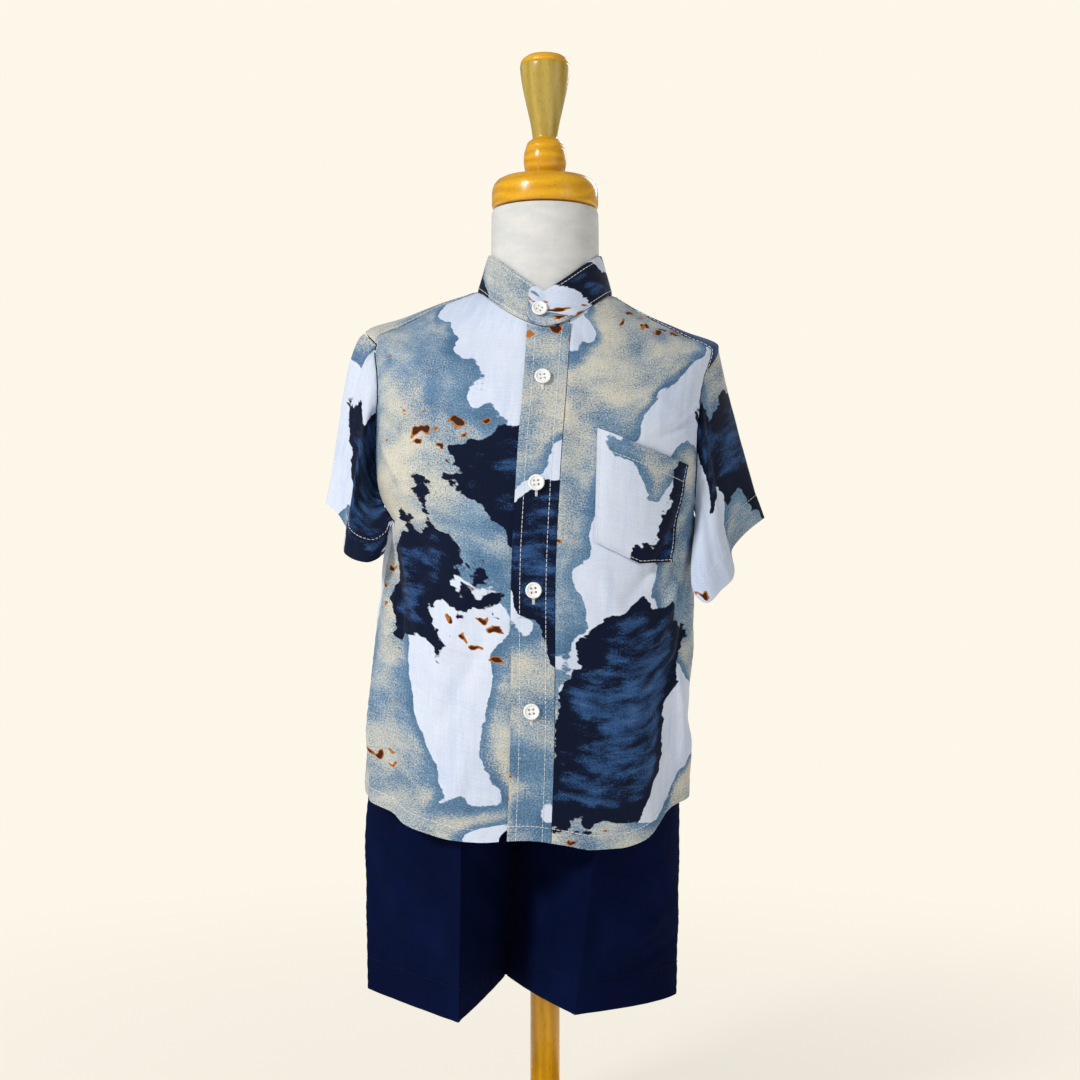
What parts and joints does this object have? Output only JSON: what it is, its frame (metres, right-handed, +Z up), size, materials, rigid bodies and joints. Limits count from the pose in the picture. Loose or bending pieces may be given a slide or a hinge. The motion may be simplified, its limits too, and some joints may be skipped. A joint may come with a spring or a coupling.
{
  "type": "child's band-collar shirt and short trousers set worn by a limbless dress form on a turned wooden stand",
  "caption": "Child's short-sleeved band-collar shirt with a chest pocket over short creased trousers, worn by a limbless dress form on a round wooden base.",
  "frame": {"origin": "centre of the stand base's underside, on the floor below the dress form's neck", "axes": "+X to the wearer's left, +Y to the wearer's back, +Z up along the form"},
  "size_m": [0.333, 0.23, 0.834],
  "materials": {
    "batik_cotton": "printed plain-weave cotton, matt",
    "navy_twill": "dyed twill, matt",
    "button_white": "polished",
    "form_cover": "knitted cotton cover, matt",
    "turned_wood": "clear varnish"
  },
  "bodies": {
    "root": {"shirt_front_right": "batik_cotton", "shirt_front_left": "batik_cotton", "shirt_placket": "batik_cotton", "shirt_back": "batik_cotton", "shirt_yoke": "batik_cotton", "shirt_sleeve_right": "batik_cotton", "shirt_sleeve_left": "batik_cotton", "shirt_collar": "batik_cotton", "shirt_pocket": "batik_cotton", "button_collar": "button_white", "button_placket_1": "button_white", "button_placket_2": "button_white", "button_placket_3": "button_white", "button_placket_4": "button_white", "trouser_front_right": "navy_twill", "trouser_front_left": "navy_twill", "trouser_back_right": "navy_twill", "trouser_back_left": "navy_twill", "trouser_waistband": "navy_twill", "form_torso": "form_cover", "form_neck_cap": "turned_wood", "form_finial": "turned_wood", "stand_pole": "turned_wood", "stand_base": "turned_wood"}
  },
  "joints": []
}
